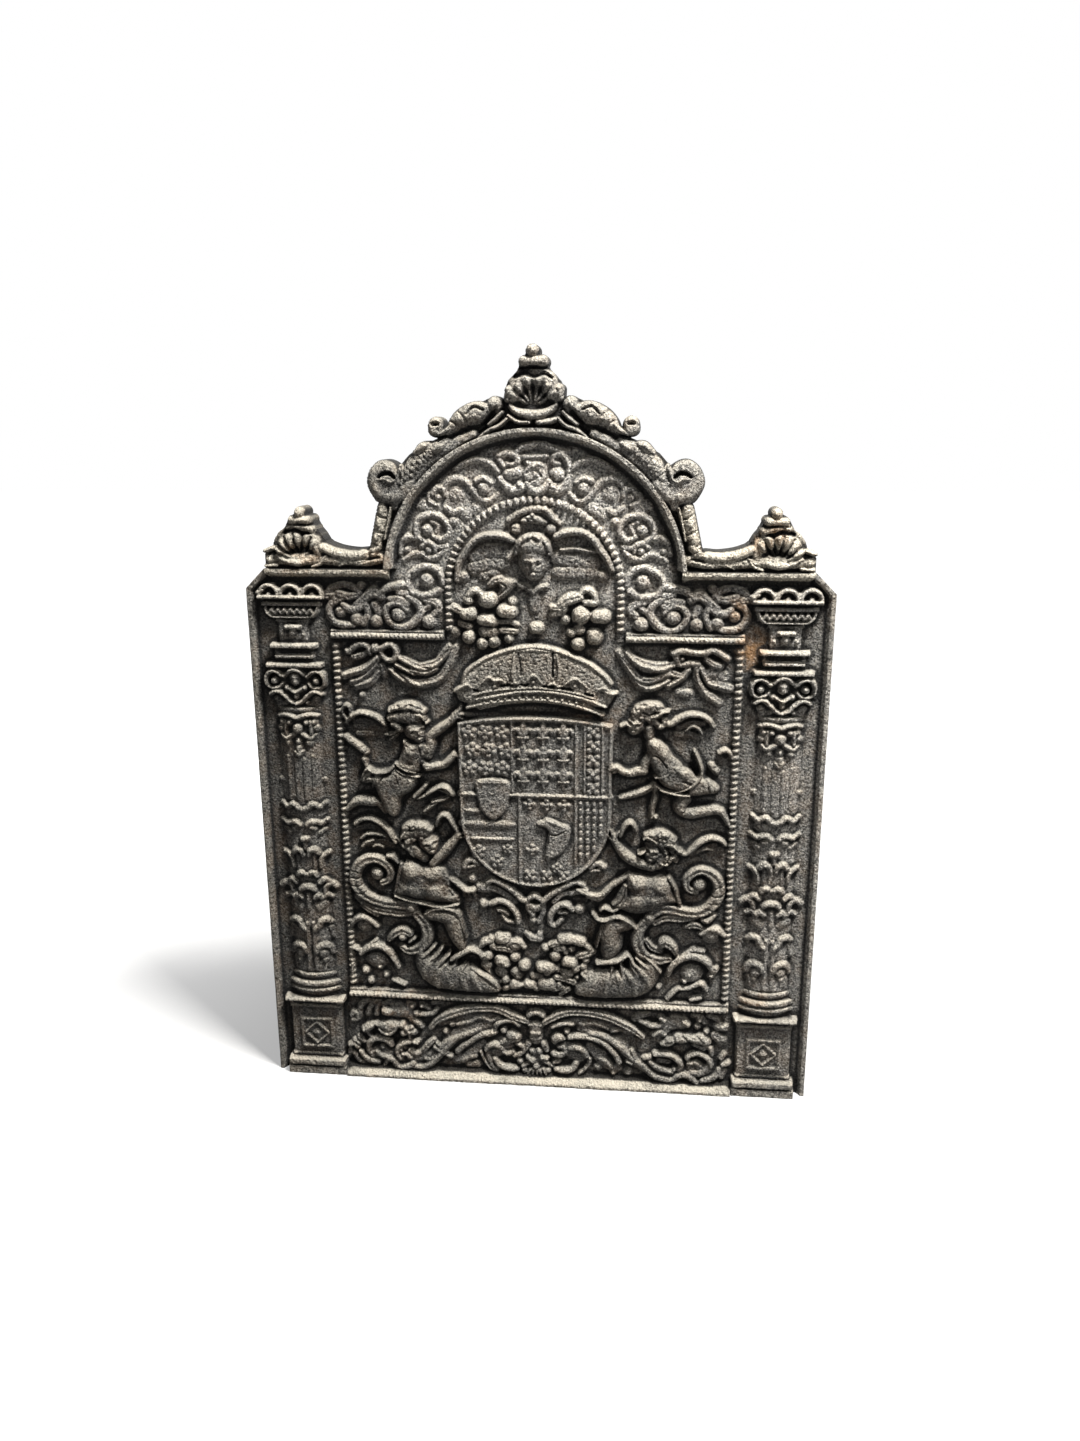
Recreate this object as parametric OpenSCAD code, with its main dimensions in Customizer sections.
// Cast-iron fireback with an arched crest, in the manner of the 17th-century arms-and-putti plates.
// The front faces -Y, +X is to the right and +Z is up. The origin is at the middle of the foot.
// Every ornament is a pattern piece of its own: it starts on the field and stands towards -Y.

/* [Overall] */
// Width of the whole plate, mm; the pattern is drawn at this width and scales with it
plate_w = 650; // [400:10:900]
// Thickness of the plate behind the field, mm
plate_t = 24; // [16:1:36]
// How far the foot ledge, the proudest piece, stands in front of the field, mm
relief_max = 18; // [17:1:26]

/* [Edge mouldings] */
// Width of the raised fillet along the edge, mm
fillet_w = 5; // [3:0.5:8]
// Width of the cove below the ledges and inside the arch, mm
cove_w = 10; // [6:1:12]
// Width of the cove down the two sides, mm
side_cove_w = 6; // [4:1:7]
// Height of the fillet over the shoulders and round the arch, mm
crown_rim_h = 12; // [8:0.5:15]
// Height of the fillet down the two sides, mm
side_rim_h = 7; // [4:0.5:10]

/* [Bead rows] */
// Distance from bead to bead, mm
bead_pitch = 7.5; // [7:0.25:10]
// Radius of one bead, mm
bead_r = 3.2; // [2.5:0.1:3.4]
// Thickness of the flat strip under the beads, mm
bead_strip_t = 1.6; // [1:0.2:3]

/* [Pilasters] */
// Distance from the plate's middle to the axis of each pilaster, mm
pilaster_x = 274; // [272:0.5:275]
// Half the width of the pilaster's shaft, mm
shaft_half = 25; // [22:0.5:27]
// How far the round face of the shaft stands in front of the field, mm
shaft_rise = 8; // [5:0.5:10]

/* [Carving] */
// Share of a ridge's foot width that its crest keeps
crest_ratio = 0.45; // [0.3:0.05:0.6]
// Number of sides of the rounded end of a broad ridge; a narrow one has fewer
ridge_sides = 6; // [6:1:10]

/* [Hidden] */
$fn = 48;
drawn_w = 650;
half_w = drawn_w / 2;
shoulder_z = 608;
ledge_z = 631;
shoulder_x = half_w - (ledge_z - shoulder_z);
arch_z = 614;
arch_r = 167;
foot_x = sqrt(arch_r * arch_r - (ledge_z - arch_z) * (ledge_z - arch_z));
spring_angle = asin((ledge_z - arch_z) / arch_r);
back_y = (plate_t + relief_max) / 2;
field_y = back_y - plate_t;
mitre = tan(22.5);
arc_step = 7.5;
narrow_half = 6.5;
narrow_sides = 4;
cove_steps = 4;
iron = [0.20, 0.19, 0.18];
dark_iron = [0.14, 0.13, 0.13];
pale_iron = [0.42, 0.38, 0.32];
rusty_iron = [0.36, 0.27, 0.20];

// ---------------------------------------------------------------- shared shapes

function arc(cx, cz, r, from, to, step = arc_step) =
    let (n = max(1, ceil(abs(to - from) / step)))
    [for (i = [0:n]) let (a = from + (to - from) * i / n) [cx + r * cos(a), cz + r * sin(a)]];

// A spiral ridge as [x, z, half width] points, from radius r[0] to r[1] over angles a[0] to a[1]
function spiral(c, r, a, w, step = 36) =
    let (n = ceil(abs(a[1] - a[0]) / step))
    [for (i = [0:n]) let (t = i / n, q = a[0] + (a[1] - a[0]) * t, d = r[0] + (r[1] - r[0]) * t)
        [c[0] + d * cos(q), c[1] + d * sin(q), w[0] + (w[1] - w[0]) * t]];

function mirrored(strokes) =
    [for (s = strokes) [s[0], [for (p = s[1]) [-p[0], p[1], p[2]]]]];

function both_sides(strokes) = concat(strokes, mirrored(strokes));

function widest(pts) = max([for (p = pts) p[2]]);

module casting(shade) {
    color(shade) scale(plate_w / drawn_w) children();
}

// Draws a piece given for the left half on either side of the plate
module on_side(side) {
    mirror([side > 0 ? 1 : 0, 0, 0]) children();
}

// Extrudes an X-Z outline from depth y0 (nearer the front) back to y1
module slab(y0, y1) {
    translate([0, y1, 0]) rotate([90, 0, 0]) linear_extrude(y1 - y0) children();
}

// A flat block on the field, h proud of it
module strip(x0, x1, z0, z1, h) {
    translate([min(x0, x1), field_y - h, z0]) cube([abs(x1 - x0), h, z1 - z0]);
}

// One rounded end of a ridge: a frustum on the field
module stub(p, h) {
    sides = p[2] < narrow_half ? narrow_sides : ridge_sides;
    translate([p[0], field_y, p[1]]) rotate([90, 0, 0])
        cylinder(h = h, r1 = p[2], r2 = p[2] * crest_ratio, $fn = sides);
}

// A round boss
module knob(p, h) {
    hull() {
        stub(p, h * 0.72);
        stub([p[0], p[1], p[2] * 0.6], h);
    }
}

// A ridge along its points; it is lower where it is narrower
module ridge(h, pts) {
    wide = widest(pts);
    if (len(pts) == 1) knob(pts[0], h);
    else for (i = [0:len(pts) - 2]) hull() {
        stub(pts[i], h * sqrt(pts[i][2] / wide));
        stub(pts[i + 1], h * sqrt(pts[i + 1][2] / wide));
    }
}

module carve(strokes) {
    for (s = strokes) ridge(s[0], s[1]);
}

// The half-round face of a pilaster member: a shallow arc in plan, between two heights
module drum(cx, half, rise, z0, z1, sides = 96) {
    r = (half * half + rise * rise) / (2 * rise);
    intersection() {
        translate([cx, field_y + r - rise, z0]) cylinder(h = z1 - z0, r = r, $fn = sides);
        strip(cx - half, cx + half, z0, z1, rise + 1);
    }
}

// ---------------------------------------------------------------- carved patterns
// Each ridge is [crest height over the field, [[x, z, half width], ...]], in mm.
// The left half of the plate has negative x; what repeats on the right is mirrored.

HEAD_UL = [[14, [[-139, 450, 15], [-136, 443, 12]]],
    [15, [[-165, 461, 5], [-154, 473, 7], [-140, 477, 7], [-128, 469, 5]]]];
BODY_UL = [[13, [[-134, 430, 13], [-138, 414, 13], [-150, 399, 14], [-164, 388, 16]]],
    [11, [[-151, 430, 7], [-134, 433, 8], [-118, 432, 8]]],
    [10, [[-118, 438, 8], [-102, 452, 7], [-86, 463, 6], [-77, 469, 5]]],
    [11, [[-120, 424, 7], [-126, 406, 7], [-108, 404, 7], [-93, 415, 5]]],
    [14, [[-172, 388, 15], [-172, 370, 13], [-168, 354, 8]]],
    [11, [[-182, 392, 9], [-198, 390, 8], [-203, 380, 5]]],
    [9, [[-178, 354, 5], [-190, 360, 7], [-205, 357, 6], [-220, 349, 3]]]];
WINGS_UL = [[8, [[-170, 454, 4], [-181, 463, 5], [-198, 465, 5], [-213, 461, 4], [-217, 474, 4]]],
    [5, [[-172, 446, 6], [-194, 452, 7], [-208, 452, 4]]],
    [7, [[-124, 472, 3], [-115, 484, 4], [-103, 491, 4], [-92, 489, 3]]]];
SASH_UL = [[8, [[-222, 436, 3], [-208, 427, 5], [-197, 415, 5], [-195, 402, 4]]],
    [7, [[-142, 366, 3], [-131, 378, 4]]],
    [8, [[-134, 367, 3], [-121, 376, 5], [-108, 379, 5], [-95, 370, 3]]],
    [6, [[-127, 351, 3], [-114, 356, 4], [-98, 366, 3]]]];

HEAD_UR = [[14, [[121, 463, 14], [117, 456, 11]]],
    [15, [[111, 477, 5], [124, 484, 8], [137, 477, 7], [143, 466, 6]]]];
BODY_UR = [[13, [[139, 430, 11], [144, 412, 14], [158, 399, 16], [174, 394, 14]]],
    [14, [[137, 438, 10], [147, 424, 9], [152, 412, 8]]],
    [11, [[150, 404, 6], [126, 404, 6], [108, 401, 7], [91, 409, 5]]],
    [12, [[180, 396, 11], [196, 390, 10], [205, 385, 7]]],
    [11, [[158, 364, 6], [172, 356, 8], [190, 360, 7], [205, 362, 6], [215, 350, 5], [219, 343, 4]]]];
WINGS_UR = [[9, [[148, 458, 4], [158, 460, 5], [172, 469, 5], [187, 470, 5], [199, 458, 3]]],
    [6, [[165, 456, 6], [186, 458, 5]]],
    [9, [[105, 456, 4], [112, 448, 5]]]];
SASH_UR = [[13, [[140, 388, 3], [155, 380, 4], [175, 379, 4], [188, 398, 3], [189, 411, 3]]],
    [6, [[98, 374, 3], [112, 377, 5], [130, 382, 4]]],
    [7, [[134, 388, 4], [137, 370, 5], [133, 350, 5], [141, 347, 3]]],
    [5, [[179, 431, 2.5], [186, 420, 2.5], [188, 411, 2.5]]],
    [7, [[204, 420, 3], [213, 428, 4], [221, 429, 3]]]];

HEAD_LL = [[15, [[-136, 319, 15], [-134, 311, 12]]],
    [16, [[-157, 318, 4], [-150, 331, 6], [-138, 336, 6], [-122, 332, 5]]]];
BODY_LL = [[12, [[-125, 304, 9], [-128, 292, 10]]],
    [12, [[-114, 298, 8], [-102, 308, 7], [-93, 320, 5], [-90, 329, 3]]],
    [15, [[-138, 276, 17], [-136, 262, 21], [-133, 252, 20]]],
    [14, [[-151, 281, 8], [-157, 265, 8], [-162, 250, 6]]],
    [13, [[-118, 277, 8], [-112, 262, 9], [-106, 248, 8]]],
    [10, [[-110, 272, 6], [-101, 262, 5], [-92, 258, 4], [-80, 250, 5], [-70, 253, 3]]],
    [11, [[-134, 233, 4], [-114, 232, 4], [-92, 235, 4]]],
    [14, [[-118, 221, 9], [-103, 217, 12], [-94, 202, 10], [-87, 189, 7], [-81, 180, 5]]]];
WINGS_LL = [[9, [[-212, 333, 3], [-200, 337, 5], [-185, 333, 5], [-172, 318, 4], [-164, 308, 4]]],
    [7, [[-206, 312, 3], [-194, 320, 4], [-178, 319, 4]]],
    [6, [[-206, 302, 3], [-196, 310, 3], [-184, 304, 3]]],
    [9, [[-115, 334, 3], [-108, 345, 4], [-100, 336, 4], [-94, 327, 3]]]];

HEAD_LR = [[15, [[140, 309, 15], [137, 301, 12]]],
    [15, [[128, 321, 6], [142, 328, 7], [156, 322, 7], [163, 311, 5]]]];
BODY_LR = [[12, [[132, 296, 9], [130, 286, 10]]],
    [12, [[121, 294, 7], [106, 302, 7], [97, 314, 5], [90, 330, 4]]],
    [15, [[133, 270, 16], [136, 258, 20], [138, 247, 18]]],
    [14, [[112, 275, 8], [130, 279, 9], [152, 275, 8]]],
    [13, [[158, 270, 5], [163, 258, 5], [166, 248, 4]]],
    [10, [[106, 271, 6], [93, 262, 5], [84, 254, 5], [72, 249, 5], [59, 253, 4], [50, 256, 3]]],
    [11, [[76, 232, 4], [90, 238, 5], [99, 249, 5], [103, 261, 4]]],
    [14, [[105, 226, 9], [94, 218, 12], [84, 205, 9], [77, 192, 7], [71, 178, 5]]]];
WINGS_LR = [[9, [[167, 308, 4], [177, 312, 5], [190, 321, 5], [205, 325, 5], [217, 320, 3]]],
    [6, [[186, 309, 6], [204, 312, 5]]],
    [9, [[98, 325, 3], [104, 338, 4], [111, 344, 4], [116, 335, 3]]]];

HORN = [[11, [[-141, 221, 8], [-160, 231, 8], [-182, 232, 8], [-204, 240, 8], [-217, 256, 7],
        [-217, 273, 7], [-206, 286, 6], [-190, 289, 6], [-177, 281, 6], [-171, 267, 7],
        [-182, 257, 7], [-192, 265, 5]]],
    [9, [[-217, 236, 4], [-206, 227, 5], [-188, 221, 5], [-165, 219, 5], [-152, 215, 5]]],
    [11, [[-143, 220, 7], [-131, 207, 7], [-125, 193, 6], [-129, 180, 6], [-142, 171, 6],
        [-155, 173, 5], [-161, 181, 3]]],
    [11, [[-179, 181, 5], [-172, 190, 7], [-160, 194, 7], [-152, 186, 5]]],
    [14, [[-146, 150, 16], [-126, 143, 22], [-102, 142, 24], [-78, 149, 20], [-66, 156, 14]]],
    [13, [[-108, 164, 3], [-92, 171, 5], [-78, 176, 5], [-66, 170, 5], [-59, 157, 4],
        [-56, 142, 4], [-51, 131, 3]]]];
FOOT_CURLS = [[9, [[-221, 200, 5], [-208, 208, 8], [-196, 200, 6]]],
    [9, [[-212, 165, 4], [-200, 172, 6], [-186, 172, 6], [-175, 162, 6], [-168, 149, 4]]],
    [7, [[-208, 139, 5]]], [6, [[-191, 145, 5]]], [6, [[-203, 127, 5]]], [6, [[-186, 134, 4]]],
    [6, [[-220, 168, 4], [-214, 167, 3]]],
    [6, [[-176, 128, 4], [-160, 122, 3]]]];
FRUIT_L = [for (f = [[-55, 187, 8], [-40, 193, 8], [-25, 185, 8], [-63, 171, 7], [-38, 177, 7],
    [-25, 168, 7], [-42, 160, 10], [-12, 157, 7], [-20, 146, 8], [-44, 140, 7], [-34, 131, 6],
    [-22, 132, 6], [-10, 133, 6]]) [f[2] * 0.7 + 4, [f]]];
FRUIT_R = concat([[9, [[28, 191, 4], [40, 196, 5], [54, 190, 5], [62, 181, 4]]]],
    [for (f = [[12, 181, 5], [22, 185, 5], [24, 171, 7], [42, 166, 9], [54, 160, 6], [11, 156, 9],
    [40, 150, 6], [30, 141, 6], [12, 135, 8], [31, 129, 5], [46, 139, 5]]) [f[2] * 0.7 + 4, [f]]]);
VALLEY = concat([[9, [[0, 246, 6], [0, 236, 4]]], [7, [[0, 192, 7]]], [5, [[0, 228, 3], [0, 202, 2]]]],
    both_sides([
    [8, [[-66, 277, 3], [-70, 288, 4], [-78, 290, 4], [-83, 282, 3], [-77, 276, 3]]],
    [9, [[-68, 262, 3], [-51, 265, 5], [-35, 256, 5], [-20, 245, 5], [-10, 235, 5], [-6, 222, 4]]],
    [8, [[-50, 229, 4], [-42, 238, 5], [-30, 236, 5], [-21, 224, 4], [-26, 213, 4], [-36, 216, 4],
        [-37, 225, 3]]]]));

SWAG = [[8, [[-155, 534, 4], [-142, 521, 5], [-124, 515, 5], [-108, 521, 5], [-98, 538, 4]]],
    [8, [[-170, 522, 3], [-152, 507, 4], [-130, 496, 4], [-112, 503, 4], [-98, 518, 4], [-90, 536, 3]]],
    [8, [[-206, 534, 4], [-199, 543, 4], [-186, 541, 4], [-190, 531, 3], [-202, 528, 3]]],
    [8, [[-160, 543, 4], [-170, 544, 4], [-173, 535, 4], [-166, 527, 4], [-157, 531, 4]]],
    [9, [[-180, 538, 6]]],
    [7, [[-180, 530, 3], [-194, 516, 4], [-216, 509, 3]]],
    [7, [[-184, 521, 3], [-192, 507, 4], [-209, 502, 4]]],
    [6, [[-181, 504, 3], [-195, 496, 4], [-206, 498, 3]]],
    [6, [[-200, 487, 5]]]];

CHERUB = [[14, [[0, 651, 16], [0, 639, 13]]],
    [15, [[-13, 662, 6], [0, 667, 7], [13, 662, 6]]],
    [6, [[0, 626, 6], [0, 614, 4]]], [6, [[0, 566, 7]]],
    [9, [[-11, 684, 5], [0, 687, 7], [11, 684, 5]]],
    [7, [[-14, 677, 3], [14, 677, 3]]]];
CHERUB_WING = [[10, [[-22, 664, 4], [-38, 668, 5], [-55, 665, 5], [-70, 655, 4], [-80, 641, 3]]],
    [6, [[-25, 654, 6], [-45, 652, 8], [-62, 647, 6]]],
    [5, [[-25, 642, 4], [-44, 640, 5], [-58, 637, 4]]],
    [7, [[-26, 682, 3], [-16, 692, 3], [0, 697, 3.5]]],
    [6, [[-28, 622, 4], [-20, 612, 4], [-8, 618, 3]]]];
ARCH_FRUIT_L = [for (f = [[-52, 600, 11], [-30, 587, 10], [-72, 581, 9], [-53, 575, 11],
    [-70, 556, 7], [-57, 550, 7], [-41, 552, 7], [-29, 560, 6], [-67, 604, 6], [-77, 595, 5]])
    [f[2] * 0.7 + 2, [f]]];
ARCH_FRUIT_R = [for (f = [[53, 581, 12], [73, 580, 9], [65, 561, 9], [49, 553, 7], [40, 562, 6],
    [39, 597, 7], [58, 601, 6], [29, 590, 5], [79, 566, 5]]) [f[2] * 0.7 + 2, [f]]];

CARTOUCHE = concat([[9, [[-17, 757, 3], [-9, 763, 4], [0, 765, 4], [9, 763, 4], [17, 757, 3]]],
    [7, [[-14, 750, 2.5], [0, 751, 3], [14, 750, 2.5]]], [7, [[2, 733, 9]]]],
    both_sides([
    [8, [[-36, 749, 3], [-29, 755, 4], [-20, 751, 4], [-22, 744, 3]]],
    [8, [[-37, 738, 3], [-36, 727, 3], [-30, 718, 4], [-20, 713, 4], [-8, 716, 3.5], [0, 718, 3.5]]],
    [6, [[-25, 735, 5]]], [6, [[-20, 723, 4]]]]));
SPANDREL = concat([
    [6, [[-92, 729, 2.5], [-78, 741, 3], [-60, 747, 3.5], [-46, 741, 3], [-42, 733, 2.5]]],
    [6, [[-96, 717, 2.5], [-86, 726, 3], [-72, 723, 3], [-60, 728, 3], [-46, 723, 3], [-48, 710, 3],
        [-62, 709, 3]]],
    [7, [[-54, 719, 5]]], [6, [[-86, 712, 6]]], [6, [[-106, 711, 6]]],
    [6, spiral([-112, 673], [20, 12], [-60, 230], [3, 3])], [7, [[-119, 673, 6]]],
    [5, [[-148, 651, 3], [-138, 659, 4], [-124, 652, 4], [-108, 651, 4]]],
    [6, spiral([-120, 619], [16, 15], [-70, 200], [3, 3.5])], [8, [[-120, 617, 8]]],
    [5, [[-90, 690, 4], [-84, 682, 3]]], [5, [[-104, 640, 4], [-112, 636, 3]]]]);
TOP_FRIEZE = concat([
    [6, spiral([-153, 584], [20, 19], [120, 390], [3.5, 3.5])], [8, [[-153, 583, 8]]],
    [6, [[-176, 604, 3], [-165, 611, 3.5], [-150, 612, 3]]],
    [6, spiral([-211, 588], [22, 14], [60, 300], [3.5, 4])],
    [7, [[-198, 575, 5], [-192, 584, 4], [-204, 590, 4]]],
    [7, [[-192, 598, 5], [-184, 605, 6], [-177, 597, 4]]],
    [7, [[-178, 572, 6]]], [7, [[-118, 571, 6.5]]], [6, [[-110, 588, 5]]],
    [6, [[-222, 600, 4]]], [5, [[-208, 603, 3], [-200, 598, 3]]]]);

FOOT_FRIEZE = concat([
    [9, [[-130, 66, 2.5], [-115, 82, 3.5], [-90, 94, 4], [-62, 98, 4], [-36, 91, 4], [-18, 79, 4],
        [-11, 73, 3]]],
    [6, [[-108, 72, 3], [-92, 77, 3.5], [-72, 83, 3], [-52, 80, 3], [-36, 82, 3], [-25, 76, 3]]],
    [8, [[-108, 42, 3], [-95, 55, 3.5], [-75, 65, 4], [-52, 66, 3]]],
    [7, [[-96, 36, 3], [-85, 47, 3], [-70, 54, 3], [-60, 50, 2.5]]],
    [9, spiral([-42, 28], [20, 20], [100, 330], [4, 4.5])],
    [8, spiral([-31, 47], [10, 9], [-60, 200], [3.5, 3.5])],
    [7, spiral([-197, 33], [18, 15], [40, 270], [4, 4])],
    [7, spiral([-160, 34], [14, 13], [50, 300], [3.5, 4])],
    [8, [[-184, 19, 4], [-166, 12, 4], [-146, 14, 4.5], [-127, 25, 4.5], [-111, 41, 4]]],
    [7, [[-223, 30, 3], [-217, 18, 4], [-206, 11, 3]]],
    [6, [[-90, 22, 4], [-78, 28, 4]]], [5, [[-112, 17, 6]]], [6, [[-137, 46, 4], [-143, 33, 4]]],
    [7, [[-228, 38, 4]]]]);
FOOT_BEAST = [[9, [[-218, 60, 5], [-204, 66, 6], [-186, 66, 8], [-168, 66, 8], [-152, 60, 6]]],
    [8, [[-178, 74, 3], [-165, 76, 4], [-150, 70, 4]]], [7, [[-186, 86, 6]]],
    [6, [[-224, 76, 3], [-218, 90, 3], [-208, 97, 3]]],
    [6, [[-152, 84, 3], [-138, 82, 3], [-127, 88, 3]]],
    [5, [[-150, 94, 3], [-142, 93, 3], [-134, 96, 2.5]]]];
FOOT_SHELL = concat(
    [[8, [[0, 24, 9], [0, 16, 8]]], [7, [[0, 56, 5], [0, 42, 4]]], [7, [[0, 90, 5], [0, 77, 4]]]],
    [for (a = [205:26:335])
        [7, [[5 * cos(a), 16 + 5 * sin(a), 3], [13 * cos(a), 18 + 11 * sin(a), 3.5]]]]);

FINIAL = concat([[14, [[0, 857.5, 6]]], [12, [[-8, 847, 4.5], [8, 847, 4.5]]],
    [11, spiral([0, 815], [20, 20], [50, 130], [4, 4])],
    [13, [[-20, 801, 5], [-8, 795, 6], [8, 795, 6], [20, 801, 5]]],
    [9, [[-18, 787, 3], [-6, 790, 4], [6, 790, 4], [18, 787, 3]]]],
    [for (a = [-150:20:-30])
        [9, [[4 * cos(a), 822 + 4 * sin(a), 2.5], [17 * cos(a), 822 + 17 * sin(a), 3.5]]]],
    [for (side = [-1, 1]) [12, [[side * 20, 832, 4], [side * 26, 822, 5], [side * 25, 810, 4]]]]);
CORNER_FINIAL = concat([[14, [[-258, 690, 6]]], [12, [[-267, 681, 4.5], [-250, 681, 4.5]]],
    [10, [[-276, 670, 4], [-260, 674, 4], [-243, 670, 4]]],
    [12, [[-272, 638, 6], [-258, 636, 7], [-246, 638, 6]]],
    [9, [[-296, 636, 4], [-292, 648, 4]]], [9, [[-284, 634, 4]]], [9, [[-237, 634, 4]]]],
    [for (a = [30:20:150]) [10, [[-261 + 8 * cos(a), 640 + 8 * sin(a), 2.5],
        [-261 + 25 * cos(a), 640 + 25 * sin(a), 4]]]]);
DOLPHIN = [[14, [[-148, 712, 7], [-158, 704, 7], [-170, 708, 7], [-177, 720, 7], [-174, 735, 7],
        [-162, 742, 7], [-150, 737, 5]]],
    [14, [[-163, 722, 5], [-155, 722, 5], [-146, 728, 6], [-138, 738, 8], [-126, 748, 8],
        [-112, 758, 7], [-98, 764, 5]]],
    [12, [[-90, 778, 5], [-98, 778, 4], [-107, 777, 4], [-109, 785, 4], [-102, 789, 3.5]]],
    [13, [[-88, 776, 6], [-80, 790, 6], [-68, 801, 6], [-55, 803, 5], [-50, 795, 4]]],
    [13, [[-62, 793, 5]]], [12, [[-64, 783, 4], [-50, 788, 4], [-40, 803, 6], [-36, 806, 5]]],
    [9, [[-52, 778, 3], [-40, 784, 3], [-34, 792, 3]]]];
GARLAND = [[11, [[-163, 694, 6], [-168, 680, 6], [-172, 665, 6], [-176, 650, 6]]],
    [8, [[-184, 644, 5], [-200, 641, 5], [-214, 644, 5], [-226, 652, 4]]],
    [7, [[-178, 636, 4], [-192, 636, 3], [-206, 636, 3]]],
    [7, [[-224, 638, 4]]], [7, [[-216, 636, 3]]]];

// Leaves on the pilaster, with x from its axis and height over the field
SHAFT_LEAVES = concat(
    [for (x = [-21, -9, 9, 21]) [shaft_rise + 2.5, [[x, 351, 4.5], [x * 0.9, 345, 3]]]],
    both_sides([
    [shaft_rise + 3, [[-24, 335, 2.5], [-18, 329, 3], [-9, 332, 3], [-2, 326, 2.5]]],
    [shaft_rise + 2, [[-9, 324, 3]]],
    [shaft_rise + 3, [[-15, 291, 3], [-9, 297, 4], [-3, 291, 3]]],
    [shaft_rise, [[-24, 293, 3], [-20, 285, 3]]],
    [shaft_rise + 2, [[-8, 267, 4]]],
    [shaft_rise, [[-19, 257, 4.5]]],
    [shaft_rise + 1, [[-29, 248, 4], [-22, 250, 4]]],
    [shaft_rise + 1, [[-24, 237, 4], [-12, 237, 4]]],
    [shaft_rise + 3, [[-20, 199, 3], [-17, 205, 4], [-10, 199, 3], [-7, 192, 2.5]]],
    [shaft_rise + 3, [[-22, 166, 3], [-16, 172, 4], [-10, 164, 3], [-13, 154, 3]]]]),
    [[shaft_rise + 3, [[-8, 247, 3], [0, 250, 4], [8, 247, 3]]], [shaft_rise + 2, [[0, 310, 4]]]]);
PENDANT = concat([[shaft_rise + 4, [[0, 449, 6.5]]], [shaft_rise + 2, [[0, 432, 4], [0, 422, 3]]]],
    both_sides([
    [shaft_rise + 2, [[-13, 457, 2.5], [-13, 446, 3.5], [-10, 438, 3]]],
    [shaft_rise, [[-22, 450, 3], [-22, 442, 3]]],
    [shaft_rise + 2, [[-4, 458, 3], [-7, 440, 3]]]]));
CAPITAL = concat([[13, [[0, 514, 6], [0, 504, 6]]], [11, [[0, 494, 5], [0, 484, 4]]]],
    both_sides([
    [12, [[-13, 508, 3.5], [-20, 511, 3.5], [-29, 509, 3.5], [-31, 501, 3.5], [-26, 496, 3.5]]],
    [12, [[-23, 503, 4.5]]],
    [10, [[-24, 486, 4], [-19, 490, 4], [-13, 482, 3], [-10, 477, 3]]],
    [9, [[-10, 497, 4], [-14, 489, 3.5]]]]));

// The shield's own invented arms: quarters with pales, lozenges, a bend of discs and a rosette
CHARGES = concat(
    [for (x = [-70:14:-14]) [9, [[x, 446, 2.5], [x, 392, 2.5]]]],
    [for (i = [0:2], j = [0:2]) [10, [[20 + 22 * i, 440 - 20 * j, 6]]]],
    [for (i = [0:4]) [10, [[-72 + 13 * i, 366 - 14 * i, 5]]]],
    [[11, [[42, 338, 9]]]],
    [for (a = [0:60:300]) [10, [[42 + 18 * cos(a), 338 + 18 * sin(a), 6]]]],
    [[9, [[-82, 374, 2.5], [82, 374, 2.5]]], [9, [[0, 450, 2.5], [0, 272, 2.5]]]]);

// ---------------------------------------------------------------- outlines of the slabs

function plate_outline() = concat(
    [[-half_w, 0], [half_w, 0], [half_w, shoulder_z], [shoulder_x, ledge_z], [foot_x, ledge_z]],
    arc(0, arch_z, arch_r, spring_angle, 180 - spring_angle, 5),
    [[-foot_x, ledge_z], [-shoulder_x, ledge_z], [-half_w, shoulder_z]]);

SHIELD_OUTLINE = concat([[88, 350], [89, 458], [60, 463], [20, 466], [-20, 466], [-60, 463], [-89, 458],
    [-88, 350]], arc(0, 347, 88, 180, 360, 7.5));
CROWN_OUTLINE = [[-86, 483], [-91, 494], [-86, 499], [-83, 510], [-75, 521], [-60, 532], [-40, 541],
    [-20, 546], [0, 549], [22, 546], [45, 538], [65, 529], [80, 516], [87, 505], [88, 499], [91, 493],
    [85, 482], [62, 472], [40, 477], [0, 481], [-40, 477], [-62, 472]];
FINIAL_OUTLINE = concat([[-34, 770], [-33, 800], [-31, 812], [-30, 820], [-26, 829], [-18, 837],
    [-15, 842], [-14, 849], [-9, 853]], arc(0, 857.5, 7, 210, -30, 20),
    [[9, 853], [15, 849], [16, 842], [19, 837], [28, 829], [32, 820], [33, 812], [34, 800], [34, 770]]);
corner_end = -232;
CORNER_OUTLINE = concat([[-302, ledge_z], [-302, 646], [-297, 652], [-292, 656], [-290, 663], [-284, 671],
    [-278, 675], [-275, 680], [-272, 686], [-266, 689]], arc(-258, 690.5, 7.5, 190, -10, 20),
    [[-249, 688], [-245, 683], [-241, 675], [-236, 669], [corner_end, 662], [corner_end, ledge_z]]);
GARLAND_OUTLINE = [[corner_end, ledge_z], [corner_end, 662], [-224, 655], [-210, 650], [-196, 647],
    [-187, 648], [-182, 655], [-178, 672], [-174, 690], [-169, 702], [-140, 702], [-150, ledge_z]];
// The dolphin's back from its tail curl up to its brow, closed along the arch by a cut
DOLPHIN_BACK = [[-150, 700], [-160, 730], [-143, 744], [-134, 754], [-122, 761], [-108, 767], [-98, 771],
    [-92, 780], [-86, 786], [-82, 795], [-74, 803], [-64, 808], [-54, 808], [-47, 811], [-40, 813],
    [-34, 811], [-34, 770], [-80, 750]];

module clear_of_arch() {
    clearance = 2;
    difference() {
        children();
        slab(field_y - relief_max - clearance, back_y + clearance) polygon(plate_outline());
    }
}

// The round of the dolphin's coiled tail
module volute_disc(y0, y1) {
    slab(y0, y1) translate([-161, 723]) circle(21.5);
}

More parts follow.
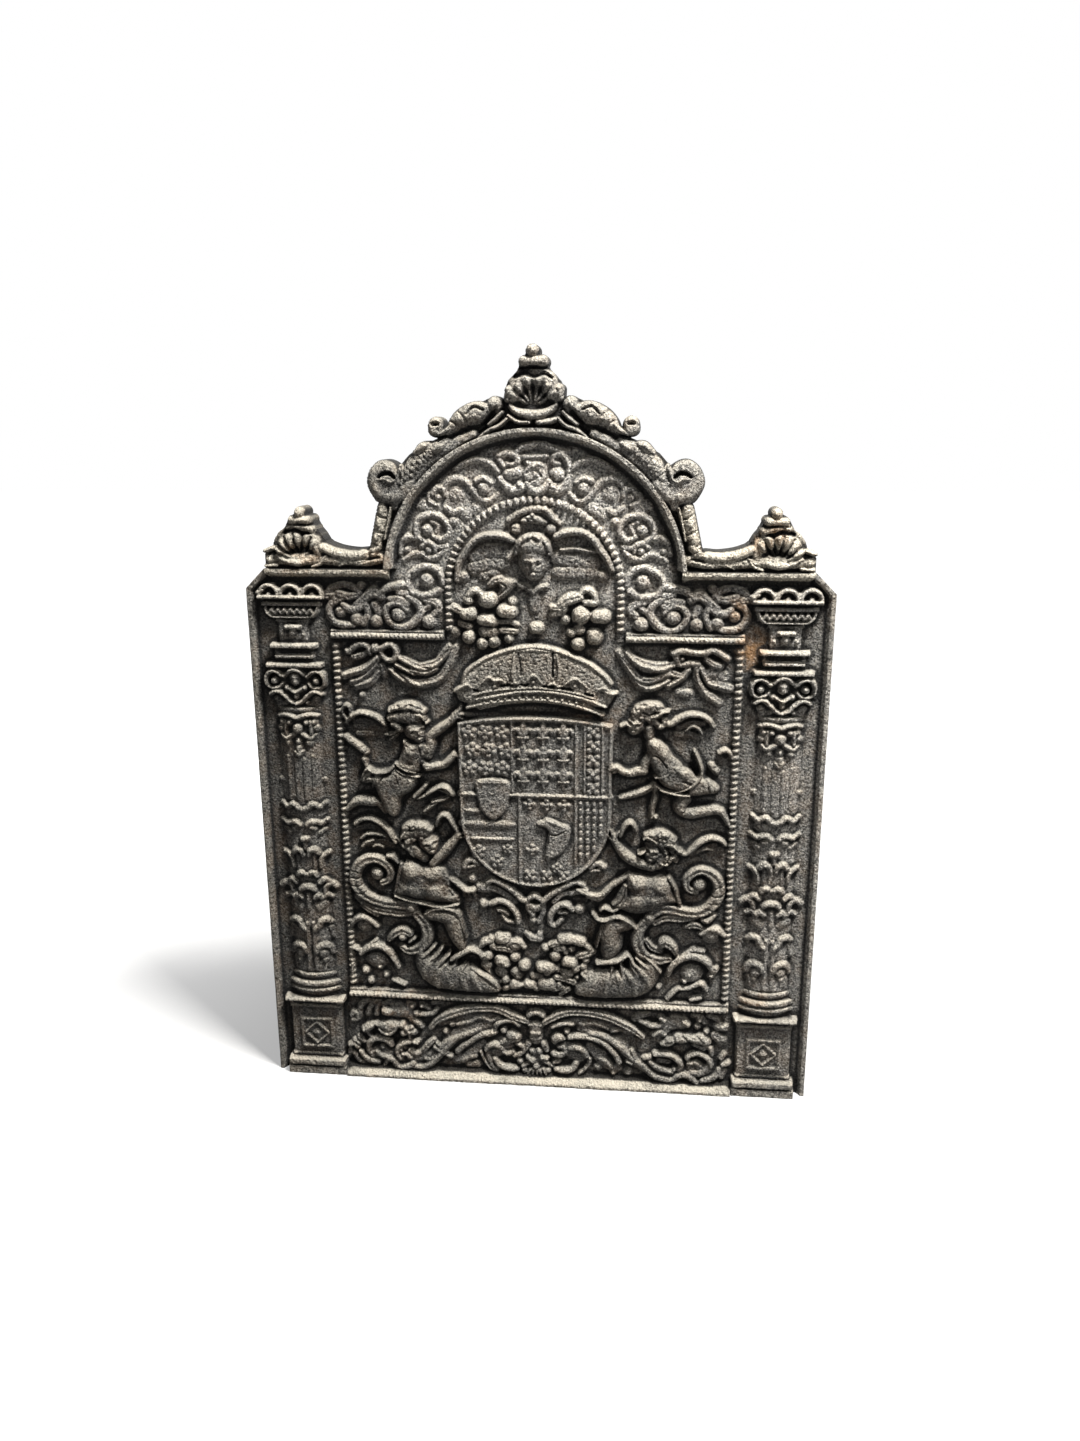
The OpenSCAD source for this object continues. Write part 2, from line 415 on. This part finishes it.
// ---------------------------------------------------------------- plate and edge mouldings

module back_plate() {
    casting(dark_iron) slab(field_y, back_y) polygon(plate_outline());
}

// Inset of the shouldered edge by d: side foot, shoulder bottom, shoulder top
function edge_line(d) = [[-half_w + d, 0], [-half_w + d, shoulder_z - d * mitre],
    [-shoulder_x + d * mitre, ledge_z - d]];

// Inset of the k-th step of a cove of width w, and its height as a share of the fillet's
function step_inset(k, w) = k == 0 ? 0 : fillet_w + w * k / cove_steps;
function step_share(k) = k == 0 ? 1 : (1 - k / cove_steps) * (1 - k / cove_steps);
function step_height(k, rim_h) = max(rim_h * step_share(k), 0.6);

module rim(side) {
    casting(dark_iron) on_side(side) for (k = [0:cove_steps - 1]) {
        outer = edge_line(step_inset(k, side_cove_w));
        inner = edge_line(step_inset(k + 1, side_cove_w));
        slab(field_y - step_height(k, side_rim_h), field_y)
            polygon([outer[0], outer[1], outer[2], inner[2], inner[1], inner[0]]);
    }
}

module ledge(side) {
    inner_x = foot_x - fillet_w;
    casting(rusty_iron) on_side(side) for (k = [0:cove_steps - 1]) {
        d0 = step_inset(k, cove_w);
        d1 = step_inset(k + 1, cove_w);
        slab(field_y - step_height(k, crown_rim_h), field_y)
            polygon([[-shoulder_x + d0 * mitre, ledge_z - d0], [-inner_x, ledge_z - d0],
                [-inner_x, ledge_z - d1], [-shoulder_x + d1 * mitre, ledge_z - d1]]);
    }
}

module arch_rim() {
    casting(iron) for (k = [0:cove_steps - 1]) {
        h = step_height(k, crown_rim_h);
        intersection() {
            translate([0, field_y, arch_z]) rotate([90, 0, 0]) difference() {
                cylinder(h = h, r = arch_r - step_inset(k, cove_w), $fn = 96);
                translate([0, 0, -1])
                    cylinder(h = h + 2, r = arch_r - step_inset(k + 1, cove_w), $fn = 96);
            }
            strip(-arch_r - 1, arch_r + 1, ledge_z, arch_z + arch_r + 1, h + 1);
        }
    }
}

module foot_ledge() {
    ledge_half = 236;
    casting(rusty_iron) translate([-ledge_half, field_y, 0]) rotate([90, 0, 90])
        linear_extrude(2 * ledge_half)
            polygon([[0, 0], [-relief_max, 0], [-relief_max, 3], [-relief_max * 0.6, 6],
                [-relief_max * 0.2, 9], [0, 10]]);
}

// A straight roll moulding with a thin strip on one side of it
module roll(x0, x1, z, r, h) {
    translate([x0, field_y, z]) rotate([90, 0, 90]) linear_extrude(x1 - x0)
        polygon(concat([[0, -r]], [for (a = [-75:15:75]) [-h * cos(a), r * sin(a)]], [[0, r]]));
}

// The bars end at the bead columns; the top ones start beside the arched panel
BAR_TOP_Z = 556;
BAR_FOOT_Z = 109;
bar_end = 231;
bar_start = 101;
bar_r = 4;
bar_strip = [3.5, 6];
foot_strip = [3.5, 7];

module bar_top(side) {
    casting(pale_iron) on_side(side) {
        roll(-bar_end, -bar_start, BAR_TOP_Z, bar_r, 9);
        strip(-bar_end, -bar_start, BAR_TOP_Z + bar_strip[0], BAR_TOP_Z + bar_strip[1], 5);
    }
}

module bar_foot() {
    casting(pale_iron) {
        roll(-bar_end, bar_end, BAR_FOOT_Z, bar_r, 10);
        strip(-bar_end, bar_end, BAR_FOOT_Z + foot_strip[0], BAR_FOOT_Z + foot_strip[1], 6);
    }
}

module bead(x, z) {
    translate([x, field_y - bead_r, z]) sphere(bead_r);
}

BEAD_X = 226;
BEAD_TOP = 549;
BEAD_FOOT = 119;
bead_count = floor((BEAD_TOP - BEAD_FOOT - 2 * bead_r) / bead_pitch);
bead_strip_half = 3.8;

module bead_column(side) {
    casting(iron) {
        strip(side * BEAD_X - bead_strip_half, side * BEAD_X + bead_strip_half, BEAD_FOOT, BEAD_TOP,
            bead_strip_t);
        for (i = [0:bead_count]) bead(side * BEAD_X, BEAD_FOOT + bead_r + 1 + i * bead_pitch);
    }
}

ARCH_BEAD_R = 95;
ARCH_BEAD_Z = 611;
LEG_FOOT = 552;

module bead_arch() {
    arc_beads = floor(PI * ARCH_BEAD_R / bead_pitch);
    leg_beads = floor((ARCH_BEAD_Z - LEG_FOOT) / bead_pitch) - 1;
    casting(iron) {
        slab(field_y - bead_strip_t, field_y) polygon(concat(
            [[ARCH_BEAD_R + bead_strip_half, LEG_FOOT]],
            arc(0, ARCH_BEAD_Z, ARCH_BEAD_R + bead_strip_half, 0, 180, 5),
            [[-ARCH_BEAD_R - bead_strip_half, LEG_FOOT], [-ARCH_BEAD_R + bead_strip_half, LEG_FOOT]],
            arc(0, ARCH_BEAD_Z, ARCH_BEAD_R - bead_strip_half, 180, 0, 5),
            [[ARCH_BEAD_R - bead_strip_half, LEG_FOOT]]));
        for (i = [0:arc_beads]) let (a = 180 * i / arc_beads)
            bead(ARCH_BEAD_R * cos(a), ARCH_BEAD_Z + ARCH_BEAD_R * sin(a));
        for (side = [-1, 1], i = [1:leg_beads]) bead(side * ARCH_BEAD_R, ARCH_BEAD_Z - i * bead_pitch);
    }
}

// ---------------------------------------------------------------- pilasters

module at_pilaster(side) {
    translate([side * pilaster_x, 0, 0]) children();
}

module pilaster_pedestal(side) {
    casting(iron) at_pilaster(side) {
        strip(-38, 38, 0, 11, 15);
        strip(-37, 37, 11, 21, 16.5);
        strip(-32, 32, 21, 88, 6);
        strip(-33, 33, 88, 93, 10);
        strip(-38, 38, 97, 104, 15);
        strip(-34, 34, 93, 97, 8);
        frame_r = 20;
        difference() {
            strip(-frame_r, frame_r, 32, 74, 8.5);
            strip(-frame_r + 4, frame_r - 4, 36, 70, 9.5);
        }
        translate([0, field_y - 5.5, 53]) rotate([90, 45, 0]) linear_extrude(4.5) difference() {
            square(24, center = true);
            square(18, center = true);
        }
        translate([0, field_y - 5.5, 55]) rotate([90, 45, 0]) linear_extrude(4) square(10, center = true);
    }
}

module pilaster_base(side) {
    casting(iron) at_pilaster(side) {
        drum(0, 29, 10, 104, 111);
        drum(0, 32, 13, 111, 116);
        drum(0, 29, 10, 116, 118);
        drum(0, 31.5, 14, 118, 125);
        drum(0, 25.5, 9, 125, 130);
        drum(0, 27, 11, 130, 136);
    }
}

module pilaster_shaft(side) {
    casting(iron) at_pilaster(side) {
        drum(0, shaft_half, shaft_rise, 136, 467);
        drum(0, shaft_half + 1, shaft_rise + 2, 467, 472);
    }
}

module on_shaft(side, strokes) {
    casting(iron) at_pilaster(side) difference() {
        carve(strokes);
        drum(0, shaft_half, shaft_rise, 136, 467, 48);
    }
}

module pilaster_leaves(side) {
    on_shaft(side, concat(SHAFT_LEAVES, PENDANT));
}

module pilaster_capital(side) {
    casting(iron) at_pilaster(side) {
        carve(CAPITAL);
        strip(-33, 33, 518, 524, 13);
        strip(-25, 25, 472, 518, 5);
    }
}

module pilaster_entablature(side) {
    casting(iron) at_pilaster(side) {
        strip(-24, 24, 524, 527, 4);
        strip(-24, 24, 527, 532, 9);
        strip(-25, 25, 532, 540, 6);
        strip(-27, 27, 540, 547, 11);
        for (s = [-1, 1]) strip(s * 27, s * 22, 547, 551, 8);
        strip(-15, 15, 547, 574, 4);
        translate([0, field_y - 4, 560]) rotate([90, 0, 0]) cylinder(h = 6, r1 = 11, r2 = 4, $fn = 4);
        strip(-20, 20, 574, 577, 7);
        strip(-21, 21, 578, 581, 8);
        strip(-22, 22, 581, 591, 4);
        strip(-20, 20, 577, 578, 5);
        for (i = [-3:3]) roll(i * 7.6 - 3, i * 7.6 + 3, 586, 3.4, 10);
        strip(-34, 34, 591, 597, 11);
        strip(-38, 38, 597, 600, 8);
        strip(-38, 38, 600, 604, 14);
        for (i = [-1:1]) translate([i * 24, 0, 0]) lunette();
    }
}

// A half-round arch with a boss under it, standing on the abacus
module lunette() {
    translate([0, field_y, 604]) rotate([90, 0, 0]) intersection() {
        union() {
            difference() {
                cylinder(h = 7, r = 10.5);
                translate([0, 0, 3]) cylinder(h = 5, r = 7.5);
            }
            cylinder(h = 6, r = 4);
        }
        translate([-12, 0, 0]) cube([24, 12, 8]);
    }
}

// ---------------------------------------------------------------- arms

crown_h = 8;
shield_h = 6;
shield_edge_h = 9;

module crown_solid() {
    slab(field_y - crown_h, field_y) polygon(CROWN_OUTLINE);
}

module crown() {
    casting(pale_iron) difference() {
        union() {
            crown_solid();
            carve([[12, [[-88, 490, 4], [-60, 483, 5], [-30, 487, 5], [0, 489, 5], [30, 487, 5],
                    [60, 482, 5], [88, 489, 4]]],
                [11, [[-22, 543, 4], [-25, 525, 4.5], [-23, 508, 4]]],
                [11, [[22, 543, 4], [25, 525, 4.5], [23, 508, 4]]]]);
            for (x = [-72:18:72])
                ridge(12, [[x - 6, 496, 4], [x, 505 - abs(x) / 20, 4], [x + 6, 496, 4]]);
        }
        under_crown();
    }
}

// The top edge of the shield, which the crown's band stops short of
module under_crown() {
    strip(-half_w, half_w, shoulder_z / 2, max([for (p = SHIELD_OUTLINE) p[1]]), relief_max + 1);
}

module shield() {
    casting(dark_iron) {
        slab(field_y - shield_h, field_y) polygon(SHIELD_OUTLINE);
        slab(field_y - shield_edge_h, field_y - shield_h) difference() {
            polygon(SHIELD_OUTLINE);
            translate([0, 362]) scale(0.95) translate([0, -362]) polygon(SHIELD_OUTLINE);
        }
    }
}

module shield_charges() {
    casting(iron) difference() {
        carve(CHARGES);
        slab(field_y - shield_h, field_y + 1) polygon(SHIELD_OUTLINE);
    }
}

// ---------------------------------------------------------------- figures and their setting

// The rows the carving stops against: the bars' and bead columns' full width
module bar_rows() {
    strip(-bar_end - 1, bar_end + 1, BAR_FOOT_Z - bar_r - 0.1, BAR_FOOT_Z + foot_strip[1], relief_max + 1);
    for (s = [-1, 1]) strip(s * bar_start, s * bar_end, BAR_TOP_Z - bar_r - 0.1,
        BAR_TOP_Z + bar_strip[1], relief_max + 1);
}

module bead_rows() {
    for (s = [-1, 1]) strip(s * (BEAD_X - bead_strip_half), s * (BEAD_X + bead_strip_half), BEAD_FOOT,
        BEAD_TOP, relief_max + 1);
}

// Strokes cut back to leave room for the pieces they touch
module cut_piece(shade, strokes, cutters = []) {
    casting(shade) difference() {
        carve(strokes);
        carve(cutters);
        slab(field_y - shield_edge_h, field_y) polygon(SHIELD_OUTLINE);
        crown_solid();
        bar_rows();
        bead_rows();
        foot_ledge();
    }
}

UPPER_LEFT = concat(BODY_UL, HEAD_UL, WINGS_UL, SASH_UL);
UPPER_RIGHT = concat(BODY_UR, HEAD_UR, WINGS_UR, SASH_UR);
LOWER_LEFT = concat(BODY_LL, HEAD_LL, WINGS_LL);
LOWER_RIGHT = concat(BODY_LR, HEAD_LR, WINGS_LR);
HORN_R = mirrored(HORN);

module putto_upper_left() { cut_piece(iron, UPPER_LEFT); }
module putto_upper_right() { cut_piece(iron, UPPER_RIGHT); }
module putto_lower_left() { cut_piece(iron, LOWER_LEFT, HORN); }
module putto_lower_right() { cut_piece(iron, LOWER_RIGHT, HORN_R); }
module cornucopia_left() { cut_piece(iron, HORN); }
module cornucopia_right() { cut_piece(iron, HORN_R); }
module fruit_left() { cut_piece(pale_iron, FRUIT_L, concat(HORN, LOWER_LEFT)); }
module fruit_right() { cut_piece(pale_iron, FRUIT_R, concat(HORN_R, LOWER_RIGHT)); }
module foot_curls_left() { cut_piece(iron, FOOT_CURLS, HORN); }
module foot_curls_right() { cut_piece(iron, mirrored(FOOT_CURLS), HORN_R); }
module valley_scrolls() { cut_piece(iron, VALLEY, concat(LOWER_LEFT, LOWER_RIGHT, FRUIT_L, FRUIT_R)); }
module swag_left() { cut_piece(iron, SWAG); }
module swag_right() { cut_piece(iron, mirrored(SWAG)); }

// ---------------------------------------------------------------- arch

module cut_in_arch(shade, strokes, cutters = []) {
    casting(shade) difference() {
        carve(strokes);
        carve(cutters);
        crown_solid();
        slab(field_y - relief_max, field_y) difference() {
            union() {
                translate([0, ARCH_BEAD_Z]) circle(ARCH_BEAD_R + bead_strip_half, $fn = 72);
                translate([-ARCH_BEAD_R - bead_strip_half, LEG_FOOT])
                    square([2 * ARCH_BEAD_R + 2 * bead_strip_half, ARCH_BEAD_Z - LEG_FOOT]);
            }
            union() {
                translate([0, ARCH_BEAD_Z]) circle(ARCH_BEAD_R - bead_strip_half, $fn = 72);
                translate([-ARCH_BEAD_R + bead_strip_half, LEG_FOOT - 1])
                    square([2 * ARCH_BEAD_R - 2 * bead_strip_half, ARCH_BEAD_Z - LEG_FOOT + 1]);
            }
        }
        bar_rows();
        edge_keepout();
    }
}

// The strip along the arch and the ledges that the cove takes up
module edge_keepout() {
    edge = fillet_w + cove_w;
    slab(field_y - relief_max, field_y) difference() {
        translate([0, arch_z]) circle(arch_r + 2, $fn = 96);
        translate([0, arch_z]) circle(arch_r - edge, $fn = 96);
        translate([-half_w, arch_z - half_w]) square([2 * half_w, half_w + ledge_z - arch_z - edge]);
    }
    for (s = [-1, 1]) strip(s * (foot_x - fillet_w), s * half_w, ledge_z - edge, ledge_z + 1, relief_max);
}

module cherub() { cut_in_arch(iron, concat(CHERUB, CHERUB_WING, mirrored(CHERUB_WING))); }
module arch_fruit_left() { cut_in_arch(pale_iron, ARCH_FRUIT_L); }
module arch_fruit_right() { cut_in_arch(pale_iron, ARCH_FRUIT_R); }
module arch_cartouche() { cut_in_arch(iron, CARTOUCHE); }
module spandrel_scrolls_left() { cut_in_arch(iron, SPANDREL, CARTOUCHE); }
module spandrel_scrolls_right() { cut_in_arch(iron, mirrored(SPANDREL), CARTOUCHE); }
module frieze_scrolls_left() { cut_in_arch(iron, TOP_FRIEZE, SPANDREL); }
module frieze_scrolls_right() { cut_in_arch(iron, mirrored(TOP_FRIEZE), mirrored(SPANDREL)); }

// ---------------------------------------------------------------- foot frieze

ACANTHUS = concat(FOOT_FRIEZE, FOOT_BEAST);

module foot_acanthus_left() { cut_piece(iron, ACANTHUS, FOOT_SHELL); }
module foot_acanthus_right() { cut_piece(iron, mirrored(ACANTHUS), FOOT_SHELL); }
module foot_shell() { cut_piece(iron, FOOT_SHELL); }

// ---------------------------------------------------------------- crest

module crest_finial() {
    casting(iron) clear_of_arch() {
        slab(field_y, back_y) polygon(FINIAL_OUTLINE);
        carve(FINIAL);
    }
}

module crest_dolphin(side) {
    casting(iron) on_side(side) difference() {
        clear_of_arch() {
            slab(field_y, back_y) polygon(DOLPHIN_BACK);
            volute_disc(field_y, back_y);
            slab(field_y, back_y) translate([-103, 782]) circle(9);
            carve(DOLPHIN);
        }
        slab(field_y - relief_max, back_y + 1) polygon(FINIAL_OUTLINE);
    }
}

module crest_garland(side) {
    casting(rusty_iron) on_side(side) difference() {
        clear_of_arch() {
            slab(field_y, back_y) polygon(GARLAND_OUTLINE);
            carve(GARLAND);
        }
        volute_disc(field_y - relief_max, back_y + 1);
        slab(field_y - relief_max, back_y + 1) polygon(DOLPHIN_BACK);
        slab(field_y - relief_max, back_y + 1) polygon(CORNER_OUTLINE);
        strip(-half_w, 0, shoulder_z - 20, ledge_z, relief_max + 1);
    }
}

module corner_finial(side) {
    casting(rusty_iron) on_side(side) difference() {
        union() {
            slab(field_y, back_y) polygon(CORNER_OUTLINE);
            carve(CORNER_FINIAL);
        }
        strip(-half_w, 0, shoulder_z - 20, ledge_z, relief_max + 1);
        strip(corner_end, 0, ledge_z, arch_z + arch_r, relief_max + 1);
    }
}

// ---------------------------------------------------------------- the two of each sided piece

module rim_left() { rim(-1); }
module rim_right() { rim(1); }
module ledge_left() { ledge(-1); }
module ledge_right() { ledge(1); }
module bar_top_left() { bar_top(-1); }
module bar_top_right() { bar_top(1); }
module bead_column_left() { bead_column(-1); }
module bead_column_right() { bead_column(1); }
module pilaster_pedestal_left() { pilaster_pedestal(-1); }
module pilaster_pedestal_right() { pilaster_pedestal(1); }
module pilaster_base_left() { pilaster_base(-1); }
module pilaster_base_right() { pilaster_base(1); }
module pilaster_shaft_left() { pilaster_shaft(-1); }
module pilaster_shaft_right() { pilaster_shaft(1); }
module pilaster_leaves_left() { pilaster_leaves(-1); }
module pilaster_leaves_right() { pilaster_leaves(1); }
module pilaster_capital_left() { pilaster_capital(-1); }
module pilaster_capital_right() { pilaster_capital(1); }
module pilaster_entablature_left() { pilaster_entablature(-1); }
module pilaster_entablature_right() { pilaster_entablature(1); }
module crest_dolphin_left() { crest_dolphin(-1); }
module crest_dolphin_right() { crest_dolphin(1); }
module crest_garland_left() { crest_garland(-1); }
module crest_garland_right() { crest_garland(1); }
module corner_finial_left() { corner_finial(-1); }
module corner_finial_right() { corner_finial(1); }

back_plate();
rim_left();
rim_right();
ledge_left();
ledge_right();
arch_rim();
foot_ledge();
bar_top_left();
bar_top_right();
bar_foot();
bead_column_left();
bead_column_right();
bead_arch();
pilaster_pedestal_left();
pilaster_pedestal_right();
pilaster_base_left();
pilaster_base_right();
pilaster_shaft_left();
pilaster_shaft_right();
pilaster_leaves_left();
pilaster_leaves_right();
pilaster_capital_left();
pilaster_capital_right();
pilaster_entablature_left();
pilaster_entablature_right();
crown();
shield();
shield_charges();
putto_upper_left();
putto_upper_right();
putto_lower_left();
putto_lower_right();
cornucopia_left();
cornucopia_right();
fruit_left();
fruit_right();
foot_curls_left();
foot_curls_right();
valley_scrolls();
swag_left();
swag_right();
cherub();
arch_fruit_left();
arch_fruit_right();
arch_cartouche();
spandrel_scrolls_left();
spandrel_scrolls_right();
frieze_scrolls_left();
frieze_scrolls_right();
foot_acanthus_left();
foot_acanthus_right();
foot_shell();
crest_finial();
crest_dolphin_left();
crest_dolphin_right();
crest_garland_left();
crest_garland_right();
corner_finial_left();
corner_finial_right();
